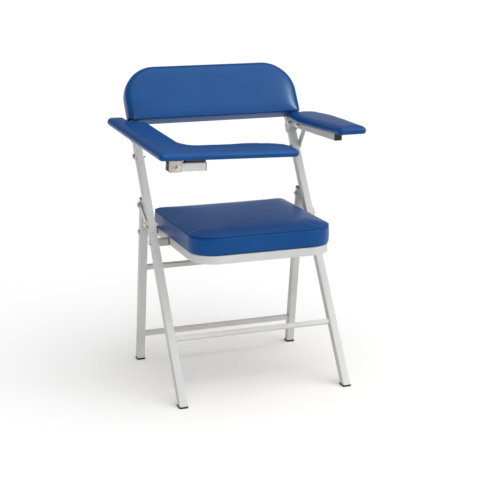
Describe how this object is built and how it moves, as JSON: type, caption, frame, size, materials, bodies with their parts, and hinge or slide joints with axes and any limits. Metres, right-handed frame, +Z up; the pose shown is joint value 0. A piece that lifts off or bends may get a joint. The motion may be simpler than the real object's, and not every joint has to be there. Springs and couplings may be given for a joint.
{
  "type": "folding phlebotomy chair",
  "caption": "Folding steel chair with padded seat and backrest, a padded armrest, and an L-shaped padded arm that flips up across the sitter.",
  "frame": {"origin": "middle of the footprint of the overall box, at floor level", "axes": "+Z up, -Y the side a sitter faces, +X to the right of someone who looks at the chair's front"},
  "size_m": [0.6425, 0.5331, 0.8687],
  "materials": {
    "powder_coat": "light grey powder coat, satin",
    "zinc_plate": "bright zinc or nickel plate",
    "bolt_steel": "bright zinc plate",
    "black_plastic": "moulded, matt",
    "spacer_nylon": "moulded nylon, natural beige",
    "plywood": "raw plywood",
    "blue_vinyl": "glossy vinyl-coated upholstery fabric over foam"
  },
  "bodies": {
    "frame": {"upright_left": "powder_coat", "upright_right": "powder_coat", "front_crossbar": "powder_coat", "front_foot_left": "black_plastic", "front_foot_right": "black_plastic", "upright_plug": "black_plastic", "upright_screw": "bolt_steel", "back_board": "plywood", "back_cushion": "blue_vinyl", "back_screw": "bolt_steel", "arm_lug": "powder_coat", "arm_tube_left": "powder_coat", "arm_tube_right": "powder_coat", "arm_tube_cap_right": "black_plastic", "arm_tube_tail_cap": "black_plastic", "arm_strut_left": "powder_coat", "arm_strut_right": "powder_coat", "arm_pivot_bolt": "bolt_steel", "strut_bolt": "bolt_steel", "right_arm_board": "plywood", "right_arm_pad": "blue_vinyl", "right_arm_screw": "bolt_steel", "hinge_plate": "powder_coat", "flip_bolt": "bolt_steel", "link_pivot_bolt": "bolt_steel", "seat_pivot_bolt": "bolt_steel"},
    "seat": {"seat_frame": "powder_coat", "seat_rear_bar": "powder_coat", "seat_board": "plywood", "seat_cushion": "blue_vinyl", "seat_screw": "bolt_steel", "seat_spacer": "spacer_nylon", "seat_spacer_washer": "black_plastic", "leg_spacer": "spacer_nylon", "leg_spacer_washer": "black_plastic", "leg_pivot_bolt": "bolt_steel"},
    "fold_links": {"fold_link_left": "zinc_plate", "fold_link_right": "zinc_plate", "link_bolt_head": "bolt_steel"},
    "rear_legs": {"rear_leg_left": "powder_coat", "rear_leg_right": "powder_coat", "rear_crossbar_lower": "powder_coat", "rear_crossbar_upper": "powder_coat", "rear_foot_left": "black_plastic", "rear_foot_right": "black_plastic", "rear_leg_plug": "black_plastic", "link_bolt_stud": "bolt_steel"},
    "flip_arm": {"cross_tube": "powder_coat", "cross_tube_cap": "black_plastic", "cross_tube_spacer": "black_plastic", "cross_tube_screw": "bolt_steel", "flip_channel": "zinc_plate", "left_arm_board": "plywood", "left_arm_pad": "blue_vinyl"}
  },
  "joints": [
    {"name": "seat_fold", "type": "hinge", "parent": "frame", "child": "seat", "pos_m": [0.0005, -0.00063, 0.39962], "axis": [-1, 0, 0], "range_deg": [0, 110.72]},
    {"name": "link_turn", "type": "hinge", "parent": "frame", "child": "fold_links", "pos_m": [0.0005, 0.02757, 0.44449], "axis": [-1, 0, 0], "range_deg": [0, 134.02]},
    {"name": "leg_fold", "type": "hinge", "parent": "seat", "child": "rear_legs", "pos_m": [0.0005, 0.10858, 0.4068], "axis": [-1, 0, 0], "range_deg": [-70.67, 0]},
    {"name": "arm_flip", "type": "hinge", "parent": "frame", "child": "flip_arm", "pos_m": [-0.2471, -0.2538, 0.6596], "axis": [0.048, -0.9969, -0.0618], "range_deg": [0, 100]}
  ],
  "couplings": [
    {"joint": "link_turn", "follows": "seat_fold", "ratio": 1.2078},
    {"joint": "leg_fold", "follows": "seat_fold", "ratio": -0.63557}
  ]
}
